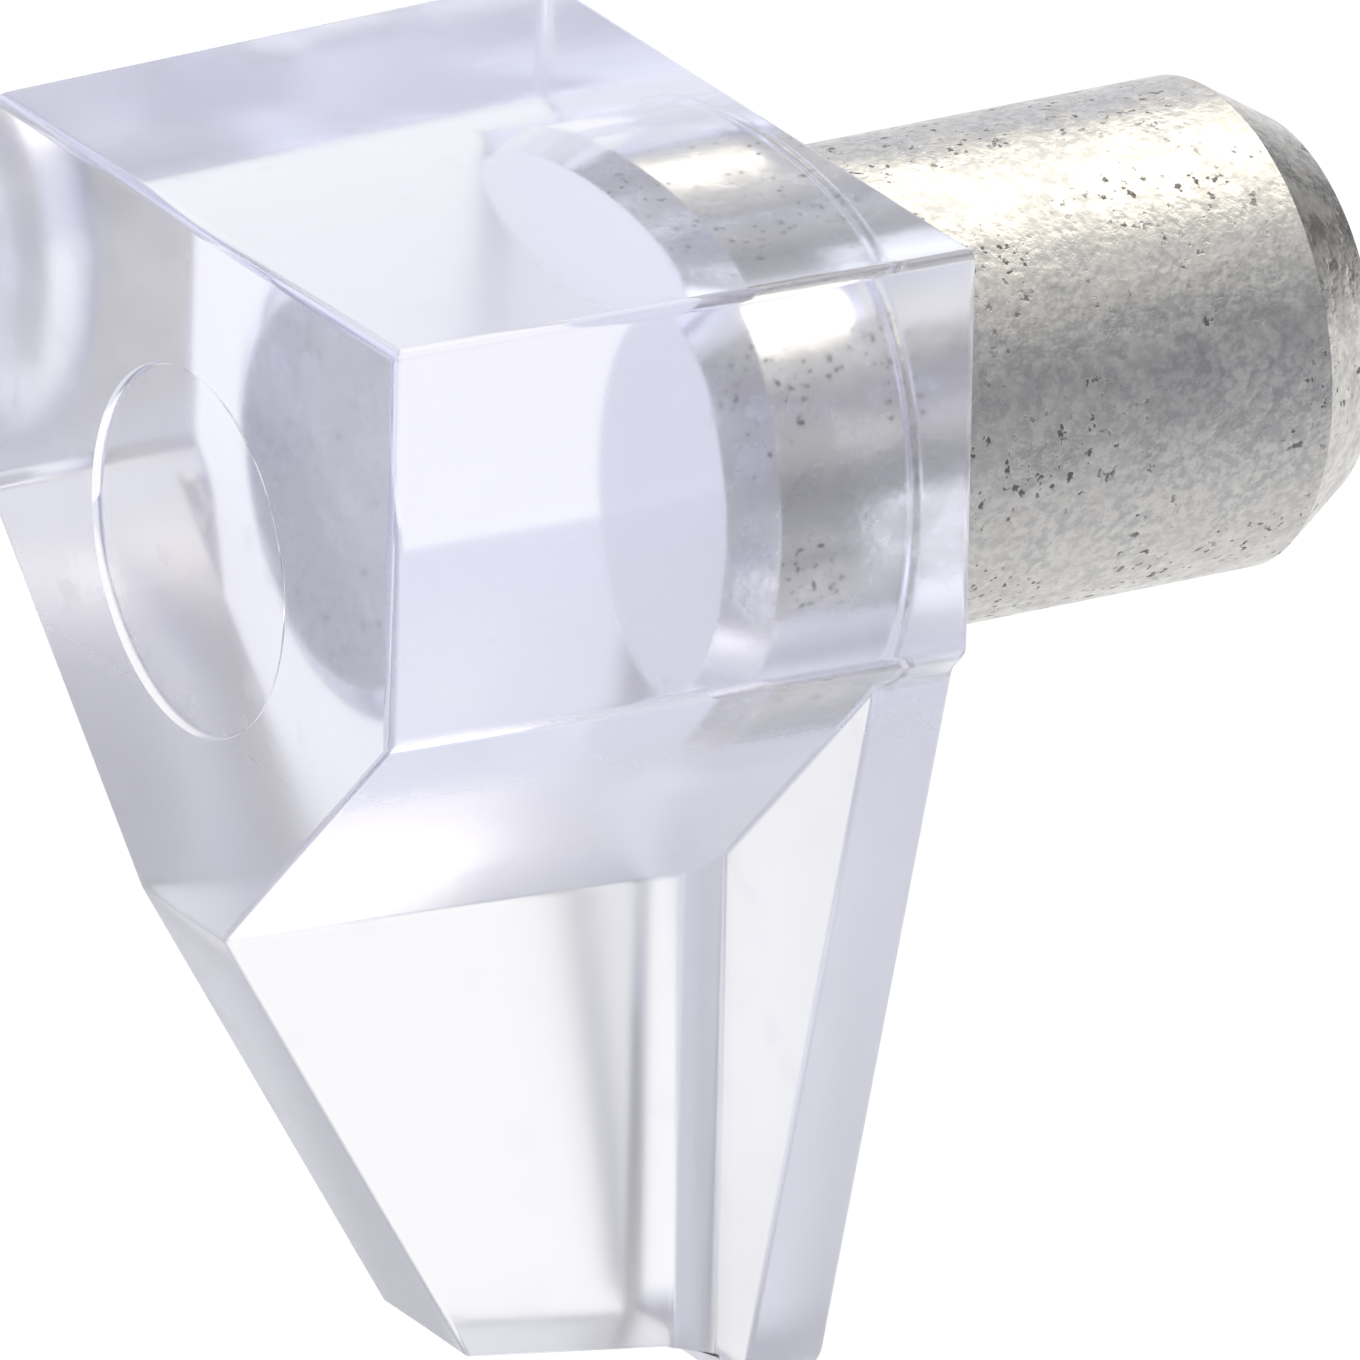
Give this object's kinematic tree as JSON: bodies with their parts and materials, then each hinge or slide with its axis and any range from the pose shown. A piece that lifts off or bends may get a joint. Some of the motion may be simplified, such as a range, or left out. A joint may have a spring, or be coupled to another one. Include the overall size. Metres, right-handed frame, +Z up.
{
  "type": "shelf support pin",
  "caption": "Clear moulded shelf support bracket with a flat seat, a tapering web and back plate, and a chamfered steel pin that plugs into a drilled hole in a cabinet's side.",
  "frame": {"origin": "on the pin's axis, where it leaves the bracket's back face", "axes": "+X along the pin, out of the bracket and into the cabinet's side; +Z up, towards the shelf; +Y across the bracket"},
  "size_m": [0.0125, 0.0086, 0.013],
  "materials": {
    "clear_plastic": "clear, faintly lavender, lightly scuffed",
    "plated_steel": "dull nickel plating with small dark pits"
  },
  "bodies": {
    "root": {"bracket": "clear_plastic", "pin": "plated_steel"}
  },
  "joints": []
}
